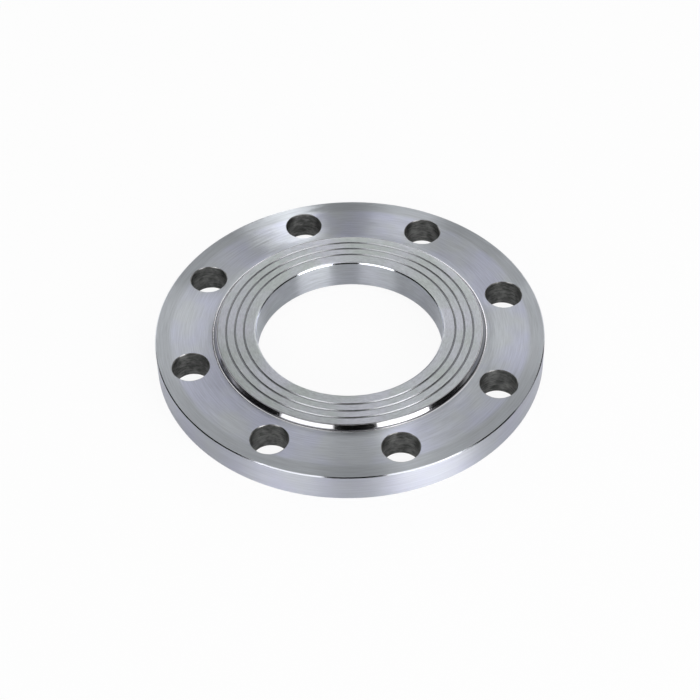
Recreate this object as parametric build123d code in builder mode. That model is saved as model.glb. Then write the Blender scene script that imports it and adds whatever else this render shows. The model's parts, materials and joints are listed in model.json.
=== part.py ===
from build123d import *
import math
import os

# Plate flange with a raised, grooved sealing face, turned and drilled from one steel blank.
# All sizes are millimetres. Z is the axis of the pipe, the back face lies on Z = 0,
# and the sealing face looks up.

# Bore that the pipe slips into, with a bevel at the back for the outside weld
bore_diameter = 91.0
bore_mouth_chamfer = 0.8
weld_bevel = 2.2

# Bolt holes, which straddle the centre lines
bolt_circle_diameter = 160.0
bolt_count = 8
bolt_hole_diameter = 18.0
bolt_hole_chamfer = 0.3

# Disc, with a web of metal left between each bolt hole and the rim
rim_web = 6.0
rim_thickness = 14.6
rim_chamfer = 0.45

# Raised sealing face: its wall leans in from its foot, which leaves a strip of the disc's flat beside each bolt hole
flat_strip = 4.65
face_height = 2.6
face_wall_lean = 30.0
face_edge_radius = 0.8
root_radius = 1.2

# Gasket grooves in the sealing face, cut with a pointed tool and counted inwards from its edge
groove_count = 3
first_groove_inset = 4.55
groove_pitch = 4.35
groove_width = 1.1
groove_depth = 0.55

# Sizes that follow from the ones above
bore_radius = bore_diameter / 2
bolt_hole_radius = bolt_hole_diameter / 2
bolt_circle_radius = bolt_circle_diameter / 2
rim_radius = bolt_circle_radius + bolt_hole_radius + rim_web
face_foot_radius = bolt_circle_radius - bolt_hole_radius - flat_strip
face_radius = face_foot_radius - face_height * math.tan(math.radians(face_wall_lean))
overall_thickness = rim_thickness + face_height
groove_radii = [face_radius - first_groove_inset - groove_pitch * turn for turn in range(groove_count)]

with BuildPart() as flange:
    # The blank is its half section, swung once round the axis
    with BuildSketch(Plane.XZ) as half_section:
        with BuildLine():
            Polyline(
                (bore_radius, 0),
                (rim_radius, 0),
                (rim_radius, rim_thickness),
                (face_foot_radius, rim_thickness),
                (face_radius, overall_thickness),
                (bore_radius, overall_thickness),
                close=True,
            )
        make_face()
    revolve(axis=Axis.Z)

    # The bore's two ends: a small mouth chamfer on the sealing side, the weld bevel at the back
    bore_edges = flange.edges().filter_by(GeomType.CIRCLE).group_by(SortBy.RADIUS)[0].sort_by(Axis.Z)
    chamfer(bore_edges[0], weld_bevel)
    chamfer(bore_edges[-1], bore_mouth_chamfer)

    # Sharp edges taken off the rim, front and back, and rounded off the raised face
    chamfer(flange.edges().filter_by(GeomType.CIRCLE).group_by(SortBy.RADIUS)[-1], rim_chamfer)
    face_edges = flange.edges().filter_by(GeomType.CIRCLE).group_by(Axis.Z)[-1]
    fillet(face_edges.sort_by(SortBy.RADIUS)[-1], face_edge_radius)

    # The radius that the turning tool leaves where the raised face meets the plate
    plate_edges = flange.edges().filter_by(GeomType.CIRCLE).filter_by_position(Axis.Z, rim_thickness, rim_thickness)
    fillet(plate_edges.sort_by(SortBy.RADIUS)[0], root_radius)

    # The gasket grooves: the tool's point, swung round the axis at each groove's radius
    with BuildSketch(Plane.XZ):
        with Locations(*[(radius, overall_thickness) for radius in groove_radii]):
            Polygon((-groove_width / 2, 0), (0, -groove_depth), (groove_width / 2, 0), align=None)
    revolve(axis=Axis.Z, mode=Mode.SUBTRACT)

    # Bolt holes right through, with both edges of each one deburred
    with PolarLocations(bolt_circle_radius, bolt_count, start_angle=180 / bolt_count):
        Hole(bolt_hole_radius)
    chamfer(flange.edges(Select.LAST).filter_by(GeomType.CIRCLE), bolt_hole_chamfer)

flange.part.label = "flange"

os.makedirs("parts", exist_ok=True)
export_step(flange.part, "parts/flange.step")
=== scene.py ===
import json
import math

import bmesh
import bpy
import numpy as np
from bpy.props import FloatProperty, FloatVectorProperty, IntProperty, PointerProperty
from mathutils import Matrix, Vector


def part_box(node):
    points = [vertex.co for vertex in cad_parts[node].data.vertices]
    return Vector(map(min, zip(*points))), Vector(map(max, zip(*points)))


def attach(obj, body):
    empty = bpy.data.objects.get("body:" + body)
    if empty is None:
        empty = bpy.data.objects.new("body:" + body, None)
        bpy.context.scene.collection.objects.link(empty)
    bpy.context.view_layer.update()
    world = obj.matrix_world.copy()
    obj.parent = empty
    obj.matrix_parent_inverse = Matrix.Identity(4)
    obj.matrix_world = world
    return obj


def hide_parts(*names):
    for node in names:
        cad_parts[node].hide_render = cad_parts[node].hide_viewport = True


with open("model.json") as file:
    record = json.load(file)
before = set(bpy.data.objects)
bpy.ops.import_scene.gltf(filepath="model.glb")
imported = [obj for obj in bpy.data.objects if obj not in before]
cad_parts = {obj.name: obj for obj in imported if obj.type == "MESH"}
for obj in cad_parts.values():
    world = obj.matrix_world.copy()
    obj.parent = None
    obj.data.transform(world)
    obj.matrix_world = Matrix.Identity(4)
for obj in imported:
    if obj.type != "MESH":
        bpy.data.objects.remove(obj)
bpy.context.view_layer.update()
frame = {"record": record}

bl_info = {
    "name": "Turned plate flange",
    "version": (1, 0, 0),
    "blender": (4, 5, 0),
    "location": "3D View > Sidebar > Flange",
    "description": "A turned and drilled steel plate flange on a pale studio floor",
    "category": "Add Mesh",
}

MM = 0.001
NODE = "flange"
MOUNTS = {mount["name"]: mount["dims"] for mount in frame["record"]["mounts"]}

# The mesh: steps round the axis, a multiple of the number of bolt holes, steps along each straight side of
# a hole's sector of the plate, rings from the hole to the sector's edge, the power by which these crowd
# towards the hole, and rings of points down its wall.
ROUND_STEPS = 720
SIDE_STEPS = 30
FACE_RINGS = 7
RING_CROWDING = 1.6
WALL_RINGS = 7

# Steps over the round edge above the raised face's wall, and over the arc at its foot, which is a corner
# beside the wall, darkened as painted shade, and a heel beside the plate, lightened as a painted highlight.
SHOULDER_STEPS = 6
CORNER_STEPS = 5
HEEL_STEPS = 3

# Points nearer than this, in metres, are welded, and an edge that turns by more than this stays sharp.
WELD = 1e-7
SHARP_ANGLE = math.radians(20)

# Wear: the flat at the bottom of a groove as a share of its width, and the corners of the bore's mouth,
# worn over at both ends of its chamfer, in widths of the chamfer from the sharp corner.
GROOVE_WEAR = 0.24
MOUTH_CORNERS = ((0, -1.2), (0.5, -0.5), (1.4, 0))

# The drill's burred edge: how many waves each of its sines has round the hole, the height of a sine of one
# wave, the bounds of their sum in that height, and what is added to a hole's seed for its edge behind.
BURR_WAVES = (2, 3, 5, 7, 11)
BURR_HEIGHT = 0.07 * MM
BURR_BOUNDS = (-1.2, 2.0)
BACK_SEED = 40

# The strip at the plate's edge, which had a pass of its own, starts here, with a blur to both sides.
EDGE_PASS = 87.6 * MM
EDGE_PASS_BLUR = 1.5 * MM

# Radii between which the share of the plate's leaned feed marks grows, from the foot of the step outwards.
LEAN_START = 66 * MM
LEAN_FULL = 71.5 * MM

# Noises of the finishes, with scales per metre: slow clouds of tone and tint over the turned faces,
# blotches in the drilled walls, and the grain of all tool marks, whose place is scaled before the noise
# reads it.
CLOUD_SIZE = 22 * MM
CLOUD_NOISE = {"Scale": 1 / CLOUD_SIZE, "Detail": 2.0}
BLOTCH_SIZE = 5 * MM
BLOTCH_NOISE = {"Scale": 1 / BLOTCH_SIZE, "Detail": 3.0, "Roughness": 0.6}
GRAIN_NOISE = {"Scale": 1.0, "Detail": 4.0, "Roughness": 0.65}
GRAIN_MIDDLE = 0.5

# The middle of a noise, over which a tint drifts from its first colour to its second.
TINT_DRIFT = {"From Min": 0.38, "From Max": 0.62}

# The drill's scores: how often they change across, along and up, per metre, and how much they darken and
# lighten the wall over the middle of their noise.
SCORE_SCALE = (260, 260, 1400)
SCORE_TONE = {"From Min": 0.25, "From Max": 0.75, "To Min": 0.3, "To Max": 1.7}

# The Mix node's sockets when it mixes colours, the turn that lays a metal's highlight across its marks,
# and the share of its anisotropy that the shader uses.
MIX_FIRST, MIX_SECOND, MIX_RESULT = 6, 7, 2
QUARTER_TURN = 0.25
ANISOTROPY_SHARE = 0.9

# The studio is a ball of cards round the flange. Each card has its left and right edge, as a turn from
# the camera to the right, its low and high edge above the horizon, all in degrees, and its brightness,
# where 1 is white. The first card hangs nearest, and what no card fills is the black tent.
CARDS = {
    "right_strip": (18.5, 57, 2, 30, 5.8),
    "left_strip": (-52, -13.5, 6, 32, 3.0),
    "right_box": (18, 68, 31, 52, 1.35),
    "left_box": (-62, -16, 34, 52, 1.35),
    "high_right": (38, 74, 64, 76, 6.0),
    "ceiling_strip": (-18, 150, 70, 80, 1.35),
    "ceiling": (-172, 18, 64, 80, 0.92),
    "rear_left_low": (-157, -118, 12, 32, 1.6),
    "rear_left_foot": (-160, -118, 2, 12, 0.3),
    "rear_left_high": (-139, -102, 30, 67, 1.15),
    "left_high": (-102, -60, 40, 60, 0.5),
    "rear_wall": (116, 199, 22, 38, 1.8),
    "rear_right_low": (125, 172, 2, 14, 1.1),
    "rear_right_high": (96, 168, 48, 74, 0.78),
    "rear_fill": (86, 193, 36, 58, 0.5),
    "rear_right_fill": (92, 162, 10, 76, 0.3),
}

# How far off the nearest card hangs, how far each next one is behind it, and how far off the tent is.
CARD_BALL = 2.6
CARD_GAP = 0.02
TENT_BALL = 2.95

# The tent's edges, in degrees, steps up a card and up the tent, and steps round for each step up.
TENT = (0, 360, 0, 90)
CARD_STEPS = 4
TENT_STEPS = 10
STEPS_ROUND = 4

# The floor's width in metres, how much of it is plain white where the camera sees it and where the metal
# mirrors it, and the world's brightness for all light but what is seen or mirrored.
FLOOR_SIZE = 60.0
FLOOR_GLOW = 0.92
MIRRORED_FLOOR_GLOW = 0.08
WORLD_FILL = 0.6
WHITE = (1, 1, 1, 1)

# The camera has a full-frame sensor, which is given in millimetres, and sees what is further than this.
SENSOR_WIDTH = 36
CLIP_START = 10 * MM

# Material slots of the flange's mesh, in order.
PLATE, SEAL, FLANK, GROOVE_FLOOR, EDGE, STEP, CORNER, HEEL, RIM, BORE, HOLE, BURR, BACK = range(13)


def linear(hex_colour):
    """Linear RGBA of an sRGB hex colour such as 'c8cad0', by a line up to 0.04045 and a power above."""
    values = np.array([int(hex_colour[i:i + 2], 16) for i in (0, 2, 4)]) / 255
    low = values / 12.92
    high = ((values + 0.055) / 1.055) ** 2.4
    return (*np.where(values <= 0.04045, low, high), 1.0)


class FlangeSizes(bpy.types.PropertyGroup):
    """Sizes of the turned profile that the frame does not give."""
    foot_radius: FloatProperty(name="Raised face foot", default=66.35 * MM, unit="LENGTH",
                               description="Radius at the foot of the raised face's wall")
    wall_lean: FloatProperty(name="Wall lean", default=math.radians(30), subtype="ANGLE",
                             description="Lean of the raised face's wall from upright")
    raised_height: FloatProperty(name="Raised face height", default=2.6 * MM, unit="LENGTH",
                                 description="Step from the plate to the sealing face")
    root_radius: FloatProperty(name="Root radius", default=1.5 * MM, unit="LENGTH",
                               description="Tool radius at the foot of the step")
    face_edge: FloatProperty(name="Raised face edge", default=0.8 * MM, unit="LENGTH",
                             description="Rounded edge of the raised face")
    rim_edge: FloatProperty(name="Rim edge", default=0.45 * MM, unit="LENGTH",
                            description="Chamfer on both edges of the rim")
    mouth_edge: FloatProperty(name="Bore mouth edge", default=0.8 * MM, unit="LENGTH",
                              description="Worn chamfer of the bore at the sealing face")
    weld_bevel: FloatProperty(name="Weld bevel", default=2.2 * MM, unit="LENGTH",
                              description="Bevel of the bore at the back face")
    hole_edge: FloatProperty(name="Bolt hole edge", default=0.3 * MM, unit="LENGTH",
                             description="Broken edge of each bolt hole")
    groove_count: IntProperty(name="Grooves", default=3, min=0,
                              description="Number of gasket grooves in the sealing face")
    groove_inset: FloatProperty(name="First groove inset", default=4.55 * MM, unit="LENGTH",
                                description="Edge of the raised face to the first groove")
    groove_pitch: FloatProperty(name="Groove pitch", default=4.35 * MM, unit="LENGTH",
                                description="Spacing of the gasket grooves")
    groove_width: FloatProperty(name="Groove width", default=1.1 * MM, unit="LENGTH",
                                description="Width of a groove at its mouth")
    groove_depth: FloatProperty(name="Groove depth", default=0.55 * MM, unit="LENGTH",
                                description="Depth that a groove would have with a sharp point")


class FlangeTints(bpy.types.PropertyGroup):
    """Colours of the flange's main faces, each drifting between a first and a second tint."""
    plate: FloatVectorProperty(name="Plate", default=linear("c9ccdc"), size=4, subtype="COLOR",
                               description="First tint of the plate and of the back face")
    plate_drift: FloatVectorProperty(name="Plate drift", default=linear("c9cdd2"), size=4, subtype="COLOR",
                                     description="Second tint of the plate and of the back face")
    edge_strip: FloatVectorProperty(name="Edge strip", default=linear("bbbfc4"), size=4, subtype="COLOR",
                                    description="Tint of the strip at the plate's edge")
    seal: FloatVectorProperty(name="Sealing face", default=linear("c1c7c6"), size=4, subtype="COLOR",
                              description="First tint of the sealing face")
    seal_drift: FloatVectorProperty(name="Sealing face drift", default=linear("c4c6ce"), size=4,
                                    subtype="COLOR", description="Second tint of the sealing face")
    rim: FloatVectorProperty(name="Rim", default=linear("c9cbd8"), size=4, subtype="COLOR",
                             description="First tint of the rim")
    rim_drift: FloatVectorProperty(name="Rim drift", default=linear("c9ccd3"), size=4, subtype="COLOR",
                                   description="Second tint of the rim")
    bore: FloatVectorProperty(name="Bore", default=linear("bfc2ca"), size=4, subtype="COLOR",
                              description="First tint of the bore's wall")
    bore_drift: FloatVectorProperty(name="Bore drift", default=linear("bcc0c5"), size=4, subtype="COLOR",
                                    description="Second tint of the bore's wall")
    hole: FloatVectorProperty(name="Bolt holes", default=linear("9a9b9a"), size=4, subtype="COLOR",
                              description="First tint of the bolt holes' walls")
    hole_drift: FloatVectorProperty(name="Bolt holes drift", default=linear("727372"), size=4,
                                    subtype="COLOR", description="Second tint of the bolt holes' walls")


class FlangeStage(bpy.types.PropertyGroup):
    """Where the camera stands."""
    azimuth: FloatProperty(name="Camera azimuth", default=math.radians(6.227), subtype="ANGLE",
                           description="Turn of the camera round the flange")
    elevation: FloatProperty(name="Camera elevation", default=math.radians(45.625), subtype="ANGLE",
                             description="Angle of the camera above the floor")
    roll: FloatProperty(name="Camera roll", default=math.radians(-1.369), subtype="ANGLE",
                        description="Tilt of the camera about its own view")
    distance: FloatProperty(name="Camera distance", default=931.63 * MM, unit="LENGTH",
                            description="Camera to the point that it looks at")
    aim: FloatVectorProperty(name="Aim", default=(1.40 * MM, -13.69 * MM, 14.77 * MM), subtype="TRANSLATION",
                             description="Point that the camera looks at")
    lens: FloatProperty(name="Lens", default=99.06, unit="CAMERA", description="Focal length")


# Profile of the turned form

def arc(centre, radius, start, end, steps):
    """Points on a circle: centre plus radius times (cos a, sin a), where a runs evenly from start to end."""
    angle = np.radians(np.linspace(start, end, steps + 1))
    return np.array(centre) + radius * np.column_stack([np.cos(angle), np.sin(angle)])


def groove(radius, top, width, depth):
    """A V groove read inwards to outwards, with the slot of the face after each point but the last.

    It goes down one flank, over the floor that the tool's worn point leaves, and up the other flank. The
    floor lies where the V is as wide as the wear.
    """
    half = width / 2
    floor = GROOVE_WEAR * half
    low = top - depth + floor * depth / half
    points = [[radius - half, top], [radius - floor, low], [radius + floor, low], [radius + half, top]]
    # The floor's slot is darkened as painted shade.
    return points, [FLANK, GROOVE_FLOOR, FLANK]


def inner_profile(sizes, bore_radius, top):
    """Half section from the back face up the bore, over the sealing face and down its wall to the plate.

    Rows are (radius, height), and the second result is the slot of the face after each point. The bore's
    mouth is its chamfer, worn over at both ends. The wall's two ends are arcs that touch it and the flat
    beside it, so each starts radius times tan((90 - lean) / 2) from the corner that it rounds.
    """
    lean = sizes.wall_lean
    plate = top - sizes.raised_height
    foot = sizes.foot_radius
    face = foot - sizes.raised_height * math.tan(lean)
    reach = math.tan((math.pi / 2 - lean) / 2)
    edge, root = sizes.face_edge, sizes.root_radius
    mouth = np.array([bore_radius, top]) + sizes.mouth_edge * np.array(MOUTH_CORNERS)
    points = [[bore_radius + sizes.weld_bevel, 0.0], [bore_radius, sizes.weld_bevel]] + mouth.tolist()
    marks = [BORE, BORE, EDGE, SEAL, SEAL]
    for turn in reversed(range(sizes.groove_count)):
        radius = face - sizes.groove_inset - turn * sizes.groove_pitch
        shape, shape_marks = groove(radius, top, sizes.groove_width, sizes.groove_depth)
        points += shape
        marks += shape_marks + [SEAL]
    shoulder = arc((face - edge * reach, top - edge), edge, 90, math.degrees(lean), SHOULDER_STEPS)
    foot_arc = arc((foot + root * reach, plate + root), root, 180 + math.degrees(lean), 270,
                   CORNER_STEPS + HEEL_STEPS)
    points += shoulder.tolist() + foot_arc.tolist()
    # The arc's corner steps are darkened as painted shade and its heel steps lightened as a painted
    # highlight.
    marks += [STEP] * len(shoulder) + [CORNER] * CORNER_STEPS + [HEEL] * HEEL_STEPS
    return np.array(points), np.array(marks)


def outer_profile(sizes, rim_radius, plate):
    """Half section from the plate over the rim's edge, down the rim and under to the back face."""
    edge = sizes.rim_edge
    flat = rim_radius - edge
    points = [[flat, plate], [rim_radius, plate - edge], [rim_radius, edge], [flat, 0]]
    return np.array(points), np.array([EDGE, RIM, EDGE])


# Surfaces as grids of points

def grid_quads(rows, columns, closed):
    """Corners of a grid's quads.

    Quad (i, j) joins rows i and i + 1 and columns j and j + 1, and the last column meets the first where
    the grid is closed.
    """
    i, j = np.meshgrid(np.arange(rows - 1), np.arange(columns if closed else columns - 1), indexing="ij")
    after = (j + 1) % columns
    quads = [i * columns + j, i * columns + after, (i + 1) * columns + after, (i + 1) * columns + j]
    return np.stack(quads, -1).reshape(-1, 4)


class Shell:
    """Collects closed grids of points and their quads, with the slot and the lay of each quad's marks."""

    def __init__(self):
        self.points = []
        self.faces = []
        self.marks = []
        self.lays = []
        self.count = 0

    def add_grid(self, grid, marks, flip=False, centre=(0.0, 0.0)):
        """Adds a grid [row, column, xyz], with one slot for all its rows or one for each.

        The lay of a quad is level and at right angles to the line from the centre to the quad's middle.
        """
        rows, columns = grid.shape[:2]
        quads = grid_quads(rows, columns, closed=True)
        if flip:
            quads = quads[:, ::-1]
        flat = grid.reshape(-1, 3)
        arm = flat[quads].mean(1)[:, :2] - np.array(centre)
        arm /= np.linalg.norm(arm, axis=1, keepdims=True)
        self.lays.append(np.column_stack([-arm[:, 1], arm[:, 0], np.zeros(len(arm))]))
        self.marks.append(np.repeat(np.broadcast_to(marks, rows - 1), columns))
        self.points.append(flat)
        self.faces.append(quads + self.count)
        self.count += len(flat)

    def mesh(self, name):
        """Makes one closed mesh: points that meet are welded and all faces are turned outwards."""
        mesh = bpy.data.meshes.new(name)
        mesh.from_pydata(np.concatenate(self.points), [], np.concatenate(self.faces))
        mesh.polygons.foreach_set("material_index", np.concatenate(self.marks).astype(np.int32))
        lay = mesh.attributes.new("lay", "FLOAT_VECTOR", "FACE")
        lay.data.foreach_set("vector", np.concatenate(self.lays).astype(np.float32).ravel())
        work = bmesh.new()
        work.from_mesh(mesh)
        bmesh.ops.remove_doubles(work, verts=work.verts, dist=WELD)
        bmesh.ops.recalc_face_normals(work, faces=work.faces)
        work.to_mesh(mesh)
        work.free()
        mesh.polygons.foreach_set("use_smooth", np.ones(len(mesh.polygons), bool))
        mesh.set_sharp_from_angle(angle=SHARP_ANGLE)
        mesh.update()
        return mesh


def revolve(profile):
    """A closed grid: point (i, a) is profile row i carried round Z, (radius cos a, radius sin a, height)."""
    angle = np.linspace(0, 2 * np.pi, ROUND_STEPS, endpoint=False)
    radius, height = profile[:, 0, None], profile[:, 1, None]
    return np.stack([radius * np.cos(angle), radius * np.sin(angle), height + 0 * angle], -1)


def sector_outline(start, share, low, high):
    """Outline of one hole's sector of a flat face: points (r cos a, r sin a).

    First a runs from the start by the sector's share of the turn at the high radius, then r falls to the low
    radius, then a runs back, and then r rises again.
    """
    step_count = round(ROUND_STEPS * share / (2 * np.pi))
    along = np.linspace(0, 1, step_count, endpoint=False)
    side = np.linspace(0, 1, SIDE_STEPS, endpoint=False)
    angle = np.concatenate([start + share * along, np.full(SIDE_STEPS, start + share),
                            start + share * (1 - along), np.full(SIDE_STEPS, start)])
    radius = np.concatenate([np.full(step_count, high), high + (low - high) * side,
                             np.full(step_count, low), low + (high - low) * side])
    return np.column_stack([radius * np.cos(angle), radius * np.sin(angle)])


def burr(angle, seed):
    """How far the drill's exit edge wanders: a sum of sines round the hole with seeded phases.

    A sine of k waves is 1 / sqrt(k) high, and the sum is kept within its bounds.
    """
    phases = np.random.default_rng(seed).uniform(0, 2 * np.pi, len(BURR_WAVES))
    waves = sum(np.sin(k * angle + phase) / math.sqrt(k) for k, phase in zip(BURR_WAVES, phases))
    return BURR_HEIGHT * np.clip(waves, *BURR_BOUNDS)


def drilled_sector(shell, index, sizes, bolts, plate, plate_foot, back_foot, outer_radius):
    """One bolt hole with its sector of the plate and of the back face.

    A face is a grid of rays: point (v, u) is the hole's edge point u times 1 - v plus the outline point u
    times v, where both lie in the same direction from the hole's centre.
    """
    share = 2 * np.pi / bolts["count"]
    start = index * share
    middle = start + share / 2
    centre = bolts["pcd_mm"] / 2 * MM * np.array([np.cos(middle), np.sin(middle)])
    hole_radius = bolts["hole_r_mm"] * MM
    spread = np.linspace(0, 1, FACE_RINGS + 1)[:, None, None] ** RING_CROWDING
    faces = ((PLATE, plate, plate_foot, index), (BACK, 0.0, back_foot, index + BACK_SEED))
    mouths = []
    for slot, level, foot, seed in faces:
        outline = sector_outline(start, share, foot, outer_radius)
        arm = outline - centre
        angle = np.arctan2(arm[:, 1], arm[:, 0])
        radius = hole_radius + sizes.hole_edge + burr(angle - middle, seed)
        mouth = centre + radius[:, None] * np.column_stack([np.cos(angle), np.sin(angle)])
        grid = mouth * (1 - spread) + outline * spread
        grid = np.concatenate([grid, np.full(grid.shape[:2] + (1,), level)], -1)
        shell.add_grid(grid, slot, flip=(slot == BACK))
        mouths.append((angle, grid[0]))
    drill_wall(shell, sizes, centre, plate, hole_radius, mouths)


def drill_wall(shell, sizes, centre, plate, radius, mouths):
    """A bolt hole's wall: its upper mouth, rings round its centre, and its lower mouth.

    A ring's points are the centre plus (radius cos a, radius sin a). The two mouths have their points in
    slightly different directions, so the rings' directions a run evenly from one to the other.
    """
    (upper_angle, upper), (lower_angle, lower) = mouths
    turn = np.angle(np.exp(1j * (lower_angle - upper_angle)))
    levels = np.linspace(0, 1, WALL_RINGS)
    heights = plate - sizes.hole_edge + (2 * sizes.hole_edge - plate) * levels
    angle = upper_angle + turn * levels[:, None]
    rings = np.stack([centre[0] + radius * np.cos(angle), centre[1] + radius * np.sin(angle),
                      np.broadcast_to(heights[:, None], angle.shape)], -1)
    grid = np.concatenate([upper[None], rings, lower[None]])
    shell.add_grid(grid, [BURR] + [HOLE] * (WALL_RINGS - 1) + [BURR], centre=centre)


# Materials

def add_node(tree, kind, values=None, links=None, **settings):
    """Adds one shader node, with its own settings, its sockets' constant values and its sockets' links."""
    node = tree.nodes.new(kind)
    for key, value in settings.items():
        setattr(node, key, value)
    for socket, value in (values or {}).items():
        node.inputs[socket].default_value = value
    for socket, source in (links or {}).items():
        tree.links.new(source, node.inputs[socket])
    return node


def new_material(name):
    """An empty node material and its output node."""
    material = bpy.data.materials.new(name)
    material.use_nodes = True
    tree = material.node_tree
    tree.nodes.clear()
    return material, tree, add_node(tree, "ShaderNodeOutputMaterial")


def tints(first, second):
    """Linear colours of two hex tints."""
    return linear(first), linear(second)


def metal_gloss(across, along):
    """Shader values of bare metal whose highlight spreads by two slopes, across and along its tool marks.

    Roughness is the fourth root of across times along. The shader divides one slope and multiplies the
    other by the square root of 1 - share times anisotropy, so anisotropy is (1 - along / across) / share.
    """
    anisotropy = min(1.0, (1 - along / across) / ANISOTROPY_SHARE)
    return {"Metallic": 1.0, "Roughness": (across * along) ** 0.25, "Anisotropic": anisotropy,
            "Anisotropic Rotation": QUARTER_TURN}


def drifting_colour(tree, noise, colours):
    """A colour that runs from the first to the second over the middle of a noise."""
    share = add_node(tree, "ShaderNodeMapRange", TINT_DRIFT, {"Value": noise}).outputs[0]
    ends = {MIX_FIRST: tuple(colours[0]), MIX_SECOND: tuple(colours[1])}
    return add_node(tree, "ShaderNodeMix", ends, {0: share}, data_type="RGBA").outputs[MIX_RESULT]


def lathe_marks(tree, pitch, streak, wander):
    """Rings of tool marks round the Z axis: a place, its radius, and the level and lay of the marks there.

    The level is a noise round zero, read at streak times the direction out from the axis and at radius plus
    height in pitches, so it runs on from a flat face to a wall. The lay is the direction round the axis plus
    wander times the level outwards.
    """
    place = add_node(tree, "ShaderNodeTexCoord").outputs["Object"]
    flat = add_node(tree, "ShaderNodeVectorMath", {1: (1, 1, 0)}, {0: place},
                    operation="MULTIPLY").outputs[0]
    outward = add_node(tree, "ShaderNodeVectorMath", links={0: flat}, operation="NORMALIZE").outputs[0]
    radius = add_node(tree, "ShaderNodeVectorMath", links={0: flat}, operation="LENGTH").outputs["Value"]
    height = add_node(tree, "ShaderNodeSeparateXYZ", links={0: place}).outputs["Z"]
    travel = add_node(tree, "ShaderNodeMath", links={0: radius, 1: height}, operation="ADD").outputs[0]
    ring = add_node(tree, "ShaderNodeMath", {1: 1 / pitch}, {0: travel}, operation="MULTIPLY").outputs[0]
    ring_step = add_node(tree, "ShaderNodeCombineXYZ", links={"Z": ring}).outputs[0]
    spot = add_node(tree, "ShaderNodeVectorMath", {1: (streak, streak, 0)}, {0: outward, 2: ring_step},
                    operation="MULTIPLY_ADD").outputs[0]
    grain = add_node(tree, "ShaderNodeTexNoise", GRAIN_NOISE, {"Vector": spot}).outputs["Fac"]
    level = add_node(tree, "ShaderNodeMath", {1: GRAIN_MIDDLE}, {0: grain}, operation="SUBTRACT").outputs[0]
    round_axis = add_node(tree, "ShaderNodeVectorMath", {0: (0, 0, 1)}, {1: outward},
                          operation="CROSS_PRODUCT").outputs[0]
    swing = add_node(tree, "ShaderNodeMath", {1: wander}, {0: level}, operation="MULTIPLY").outputs[0]
    drift = add_node(tree, "ShaderNodeVectorMath", links={0: outward, "Scale": swing},
                     operation="SCALE").outputs[0]
    lay = add_node(tree, "ShaderNodeVectorMath", links={0: round_axis, 1: drift}, operation="ADD").outputs[0]
    return place, radius, level, lay


def with_edge_strip(tree, colour, strip, radius):
    """The colour, which turns to the strip's own at the edge of the plate."""
    border = {"From Min": EDGE_PASS - EDGE_PASS_BLUR, "From Max": EDGE_PASS + EDGE_PASS_BLUR}
    beyond = add_node(tree, "ShaderNodeMapRange", border, {"Value": radius},
                      interpolation_type="SMOOTHSTEP").outputs[0]
    return add_node(tree, "ShaderNodeMix", {MIX_SECOND: tuple(strip)}, {0: beyond, MIX_FIRST: colour},
                    data_type="RGBA").outputs[MIX_RESULT]


def with_leaned_marks(tree, marks, gloss, inputs, radius, lean, leaned_share):
    """The metal with part of its light sent back by the flanks of its feed marks, which lean to the axis.

    A flank's normal is the surface's plus lean times its cross product with the lay. The flanks' share grows
    from none at the foot of the step, where its wall would show in them, to all of it further out.
    """
    normal = add_node(tree, "ShaderNodeNewGeometry").outputs["Normal"]
    side = add_node(tree, "ShaderNodeVectorMath", links={0: normal, 1: inputs["Tangent"]},
                    operation="CROSS_PRODUCT").outputs[0]
    leaned = add_node(tree, "ShaderNodeVectorMath", {1: (lean,) * 3}, {0: side, 2: normal},
                      operation="MULTIPLY_ADD").outputs[0]
    leaned = add_node(tree, "ShaderNodeVectorMath", links={0: leaned}, operation="NORMALIZE").outputs[0]
    flanks = add_node(tree, "ShaderNodeBsdfPrincipled", gloss, {**inputs, "Normal": leaned}).outputs[0]
    growth = {"From Min": LEAN_START, "From Max": LEAN_FULL, "To Max": leaned_share}
    grown = add_node(tree, "ShaderNodeMapRange", growth, {"Value": radius},
                     interpolation_type="SMOOTHSTEP").outputs[0]
    return add_node(tree, "ShaderNodeMixShader", links={0: grown, 1: marks, 2: flanks}).outputs[0]


def turned_metal(name, colours, across, along, pitch, streak, wander, shade, mottle=0.0, strip=None,
                 lean=0.0, leaned_share=0.0):
    """Bare steel cut on the lathe: its highlight is drawn out across rings of tool marks round the Z axis.

    Across and along are the slopes by which the highlight spreads, and its tint drifts between the two
    colours. Pitch is the width of a ring of marks, streak how often they change in one turn of the work,
    wander how far they swing off the circle, and shade how much their tone differs. Mottle is how much the
    tone changes from cloud to cloud, and strip the colour of the strip at the plate's edge. Lean is the
    slope of the feed marks' long flanks, and leaned_share what these send back of the light, once it has
    grown from the foot of the step.
    """
    material, tree, output = new_material(name)
    place, radius, level, lay = lathe_marks(tree, pitch, streak, wander)
    cloud = add_node(tree, "ShaderNodeTexNoise", CLOUD_NOISE, {"Vector": place}).outputs["Fac"]
    colour = drifting_colour(tree, cloud, colours)
    if strip is not None:
        colour = with_edge_strip(tree, colour, strip, radius)
    tone = add_node(tree, "ShaderNodeMapRange", {"To Min": 1 - mottle, "To Max": 1 + mottle},
                    {"Value": cloud}).outputs[0]
    tone = add_node(tree, "ShaderNodeMath", {1: shade}, {0: level, 2: tone},
                    operation="MULTIPLY_ADD").outputs[0]
    base = add_node(tree, "ShaderNodeVectorMath", links={0: colour, "Scale": tone},
                    operation="SCALE").outputs[0]
    gloss = metal_gloss(across, along)
    inputs = {"Base Color": base, "Tangent": lay}
    marks = add_node(tree, "ShaderNodeBsdfPrincipled", gloss, inputs).outputs[0]
    if leaned_share:
        marks = with_leaned_marks(tree, marks, gloss, inputs, radius, lean, leaned_share)
    tree.links.new(marks, output.inputs["Surface"])
    return material


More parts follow.
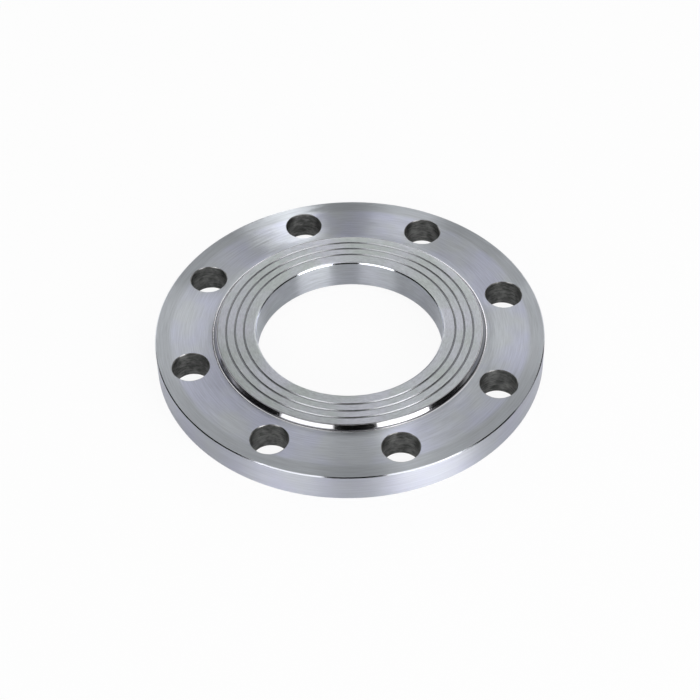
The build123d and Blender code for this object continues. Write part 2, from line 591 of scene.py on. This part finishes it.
def drilled_metal(name, colours, across, along):
    """Bare steel torn by a twist drill: darker and duller than the turned faces, and marked round its hole.

    Blotches a few millimetres wide drift between the two colours, and finer scores run round the hole.
    """
    material, tree, output = new_material(name)
    place = add_node(tree, "ShaderNodeTexCoord").outputs["Object"]
    blotch = add_node(tree, "ShaderNodeTexNoise", BLOTCH_NOISE, {"Vector": place}).outputs["Fac"]
    colour = drifting_colour(tree, blotch, colours)
    squeezed = add_node(tree, "ShaderNodeVectorMath", {1: SCORE_SCALE}, {0: place},
                        operation="MULTIPLY").outputs[0]
    scores = add_node(tree, "ShaderNodeTexNoise", GRAIN_NOISE, {"Vector": squeezed}).outputs["Fac"]
    tone = add_node(tree, "ShaderNodeMapRange", SCORE_TONE, {"Value": scores}).outputs[0]
    base = add_node(tree, "ShaderNodeVectorMath", links={0: colour, "Scale": tone},
                    operation="SCALE").outputs[0]
    lay = add_node(tree, "ShaderNodeAttribute", attribute_name="lay").outputs["Vector"]
    wall = add_node(tree, "ShaderNodeBsdfPrincipled", metal_gloss(across, along),
                    {"Base Color": base, "Tangent": lay}).outputs[0]
    tree.links.new(wall, output.inputs["Surface"])
    return material


def flange_materials(colours):
    """The finishes of the flange, in slot order.

    All are bare carbon steel. Real feed marks lie 0.1 to 0.3 mm apart, too fine to show, so their rings are
    drawn 0.4 to 0.6 mm wide.
    """
    plate = (colours.plate, colours.plate_drift)
    return [
        # Faced at a quick feed: long flanks that lean to the axis draw each light out into a spoke.
        turned_metal("Turned_plate", plate, 0.40, 0.03, pitch=0.6 * MM, streak=6.0, wander=0.3, shade=0.6,
                     mottle=0.05, strip=colours.edge_strip, lean=0.67, leaned_share=0.6),
        # Faced slowly with a round tool: an even, sandy grey with short marks and hardly a spoke.
        turned_metal("Faced_seal", (colours.seal, colours.seal_drift), 0.20, 0.10, pitch=0.5 * MM,
                     streak=22.0, wander=0.1, shade=0.9, mottle=0.2),
        # Groove flanks cut clean by the sides of the tool: satin, so each flank is either bright or dark.
        turned_metal("Cut_flank", tints("bec0c4", "b6b8bc"), 0.10, 0.05, pitch=0.5 * MM, streak=2.0,
                     wander=0.05, shade=0.3),
        # Groove floors: a dull dark line, painted shade at the bottom of each groove.
        turned_metal("Painted_shade_groove_floor", tints("808286", "7a7c7e"), 0.20, 0.10, pitch=0.5 * MM, streak=2.0,
                     wander=0.1, shade=0.3),
        # Broken edges, polished by handling: nearly a mirror, so they flash white along part of a turn.
        turned_metal("Burnished_edge", tints("e0e2ea", "d8dbe2"), 0.025, 0.012, pitch=0.4 * MM, streak=1.0,
                     wander=0.02, shade=0.1),
        # The step's wall, burnished by the tool's side: a mirror of the lights, and black between them.
        turned_metal("Burnished_step", tints("aeaeb4", "a8a8aa"), 0.02, 0.008, pitch=0.4 * MM, streak=1.0,
                     wander=0.02, shade=0.1),
        # The corner at the foot of the step's wall: a thin dark line under the step, painted shade.
        turned_metal("Painted_shade_corner", tints("7e7e82", "747478"), 0.05, 0.02, pitch=0.4 * MM, streak=1.0,
                     wander=0.05, shade=0.2),
        # The rest of the arc at the step's foot, a lighter copy of the corner: a thin light line where the
        # plate begins, the lamps' reflection lightened by a painted highlight.
        turned_metal("Painted_highlight_heel", tints("e4e4e8", "dedee2"), 0.05, 0.02, pitch=0.4 * MM, streak=1.0,
                     wander=0.05, shade=0.2),
        # The rim, turned at a rough feed: broad soft lights that change slowly round it.
        turned_metal("Turned_rim", (colours.rim, colours.rim_drift), 0.50, 0.10, pitch=0.5 * MM,
                     streak=4.0, wander=0.2, shade=0.5, mottle=0.06),
        # The bore, cut with a slim bar that chatters: upright bars of light over uneven rings.
        turned_metal("Bored_wall", (colours.bore, colours.bore_drift), 0.38, 0.03, pitch=0.6 * MM,
                     streak=5.0, wander=0.5, shade=0.8, mottle=0.06),
        # Bolt holes: dark, blotched and scored walls.
        drilled_metal("Drilled_hole", (colours.hole, colours.hole_drift), 0.25, 0.1),
        # Their broken edges: a brighter, torn line.
        drilled_metal("Torn_edge", tints("a8a8a8", "6c6c6a"), 0.15, 0.08),
        # The back, faced at a slower feed: its lights are less drawn out than the plate's.
        turned_metal("Faced_back", plate, 0.30, 0.06, pitch=0.6 * MM, streak=6.0, wander=0.3, shade=0.6),
    ]


# Operators

class FLANGE_OT_turned_flange(bpy.types.Operator):
    """Makes the whole flange as one closed mesh in place of the frame's node"""
    bl_idname = "flange.turned_flange"
    bl_label = "Turned flange"

    def execute(self, context):
        sizes = context.scene.flange_sizes
        bolts = MOUNTS["bolt_holes"]
        low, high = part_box(NODE)
        plate = high.z - sizes.raised_height
        rim_radius = min(high.x - low.x, high.y - low.y) / 2
        inner, inner_marks = inner_profile(sizes, MOUNTS["bore"]["r_mm"] * MM, high.z)
        outer, outer_marks = outer_profile(sizes, rim_radius, plate)
        shell = Shell()
        shell.add_grid(revolve(inner), inner_marks)
        shell.add_grid(revolve(outer), outer_marks)
        for index in range(bolts["count"]):
            drilled_sector(shell, index, sizes, bolts, plate, inner[-1, 0], inner[0, 0], outer[0, 0])
        mesh = shell.mesh("plate_flange")
        for material in flange_materials(context.scene.flange_tints):
            mesh.materials.append(material)
        piece = bpy.data.objects.new("plate_flange", mesh)
        context.scene.collection.objects.link(piece)
        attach(piece, "root")
        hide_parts(NODE)
        return {"FINISHED"}


class FLANGE_OT_studio(bpy.types.Operator):
    """Sets the camera, the floor and the glowing cards in their black tent"""
    bl_idname = "flange.studio"
    bl_label = "Studio"

    def execute(self, context):
        make_camera(context.scene)
        make_floor(context.scene)
        make_light(context.scene)
        return {"FINISHED"}


# Studio

def make_camera(scene):
    """Camera on a ball round the aim point, rolled about its own view."""
    stage = scene.flange_stage
    data = bpy.data.cameras.new("camera")
    data.lens = stage.lens
    data.sensor_width = SENSOR_WIDTH
    data.clip_start = CLIP_START
    camera = bpy.data.objects.new("camera", data)
    scene.collection.objects.link(camera)
    flat = math.cos(stage.elevation)
    back = Vector((math.sin(stage.azimuth) * flat, -math.cos(stage.azimuth) * flat,
                   math.sin(stage.elevation)))
    right = (-back).cross(Vector((0, 0, 1))).normalized()
    up = right.cross(-back)
    turned_right = right * math.cos(stage.roll) + up * math.sin(stage.roll)
    turned_up = up * math.cos(stage.roll) - right * math.sin(stage.roll)
    spin = Matrix((turned_right, turned_up, back)).transposed().to_4x4()
    camera.matrix_world = Matrix.Translation(Vector(stage.aim) + back * stage.distance) @ spin
    scene.camera = camera


def ball_patch(scene, name, edges, radius, material, steps=CARD_STEPS):
    """Part of a ball round the origin, which faces inwards and which the camera does not see.

    Point (e, a) is radius times (sin a cos e, -cos a cos e, sin e), where a runs from the left to the right
    edge and e from the low to the high one.
    """
    left, right, low, high = np.radians(edges)
    turn = np.linspace(left, right, steps * STEPS_ROUND + 1)
    rise = np.linspace(low, high, steps + 1)[:, None]
    grid = radius * np.stack([np.sin(turn) * np.cos(rise), -np.cos(turn) * np.cos(rise),
                              np.sin(rise) + 0 * turn], -1)
    inwards = grid_quads(len(rise), len(turn), closed=False)[:, (0, 3, 2, 1)]
    mesh = bpy.data.meshes.new(name)
    mesh.from_pydata(grid.reshape(-1, 3), [], inwards)
    mesh.materials.append(material)
    patch = bpy.data.objects.new(name, mesh)
    scene.collection.objects.link(patch)
    patch.visible_camera = False


def glowing_cloth(name, brightness):
    """A softbox's white cloth lit from behind: even light with no hot spot."""
    material, tree, output = new_material(name)
    glow = add_node(tree, "ShaderNodeEmission", {"Color": WHITE, "Strength": brightness}).outputs[0]
    tree.links.new(glow, output.inputs["Surface"])
    return material


def black_cloth():
    """Matt black cloth that hangs round the studio and sends back almost no light."""
    material, tree, output = new_material("Black_cloth")
    cloth = add_node(tree, "ShaderNodeBsdfDiffuse", {"Color": linear("161616")}).outputs[0]
    tree.links.new(cloth, output.inputs["Surface"])
    return material


def seen_directly(tree, camera_share, mirror_share):
    """One share for the camera's own rays, one for those off a gloss or through glass, and 0 for others."""
    path = add_node(tree, "ShaderNodeLightPath").outputs
    gloss, glass = path["Is Glossy Ray"], path["Is Transmission Ray"]
    mirrored = add_node(tree, "ShaderNodeMath", links={0: gloss, 1: glass}, operation="MAXIMUM").outputs[0]
    mirrored = add_node(tree, "ShaderNodeMath", {1: mirror_share}, {0: mirrored},
                        operation="MULTIPLY").outputs[0]
    return add_node(tree, "ShaderNodeMath", {1: camera_share}, {0: path["Is Camera Ray"], 2: mirrored},
                    operation="MULTIPLY_ADD").outputs[0]


def white_paper_floor():
    """Matt white paper, nearly plain white where it is seen, with a little of its own shade kept."""
    material, tree, output = new_material("White_paper")
    paper = add_node(tree, "ShaderNodeBsdfDiffuse", {"Color": linear("f4f4f4")}).outputs[0]
    white = add_node(tree, "ShaderNodeEmission", {"Color": WHITE, "Strength": 1.0}).outputs[0]
    share = seen_directly(tree, FLOOR_GLOW, MIRRORED_FLOOR_GLOW)
    both = add_node(tree, "ShaderNodeMixShader", links={0: share, 1: paper, 2: white}).outputs[0]
    tree.links.new(both, output.inputs["Surface"])
    return material


def make_floor(scene):
    """Square of white paper that the back face lies on."""
    mesh = bpy.data.meshes.new("floor")
    half = FLOOR_SIZE / 2
    corners = [(-half, -half, 0), (half, -half, 0), (half, half, 0), (-half, half, 0)]
    mesh.from_pydata(corners, [], [(0, 1, 2, 3)])
    mesh.materials.append(white_paper_floor())
    floor = bpy.data.objects.new("floor", mesh)
    scene.collection.objects.link(floor)


def make_light(scene):
    """The cards inside their black tent, and a white world where the floor ends."""
    turn = math.degrees(scene.flange_stage.azimuth)
    for rank, (name, (left, right, low, high, brightness)) in enumerate(CARDS.items()):
        ball_patch(scene, name, (left + turn, right + turn, low, high), CARD_BALL + rank * CARD_GAP,
                   glowing_cloth("Softbox_" + name, brightness))
    ball_patch(scene, "tent", TENT, TENT_BALL, black_cloth(), TENT_STEPS)
    world = bpy.data.worlds.new("studio")
    world.use_nodes = True
    tree = world.node_tree
    seen = seen_directly(tree, 1.0, 1.0)
    strength = add_node(tree, "ShaderNodeMapRange", {"To Min": WORLD_FILL}, {"Value": seen}).outputs[0]
    background = tree.nodes["Background"]
    background.inputs["Color"].default_value = WHITE
    tree.links.new(strength, background.inputs["Strength"])
    scene.world = world
    scene.view_settings.view_transform = "Standard"


class FLANGE_PT_panel(bpy.types.Panel):
    """Lists the flange's sizes, tints and stage, and its operators"""
    bl_idname = "FLANGE_PT_panel"
    bl_label = "Plate flange"
    bl_space_type = "VIEW_3D"
    bl_region_type = "UI"
    bl_category = "Flange"

    def draw(self, context):
        column = self.layout.column()
        for pointer, group in GROUPS.items():
            for name in group.__annotations__:
                column.prop(getattr(context.scene, pointer), name)
        for operator in OPERATORS:
            column.operator(operator.bl_idname)


GROUPS = {"flange_sizes": FlangeSizes, "flange_tints": FlangeTints, "flange_stage": FlangeStage}
OPERATORS = (FLANGE_OT_turned_flange, FLANGE_OT_studio)
CLASSES = (*GROUPS.values(), *OPERATORS, FLANGE_PT_panel)


def register():
    """Registers the classes and gives each scene its property groups."""
    for cls in CLASSES:
        bpy.utils.register_class(cls)
    for pointer, group in GROUPS.items():
        setattr(bpy.types.Scene, pointer, PointerProperty(type=group))


def unregister():
    """Takes the property groups and the classes away again."""
    for pointer in GROUPS:
        delattr(bpy.types.Scene, pointer)
    for cls in reversed(CLASSES):
        bpy.utils.unregister_class(cls)


def main():
    register()
    bpy.ops.flange.turned_flange()
    bpy.ops.flange.studio()


if __name__ == "__main__":
    main()
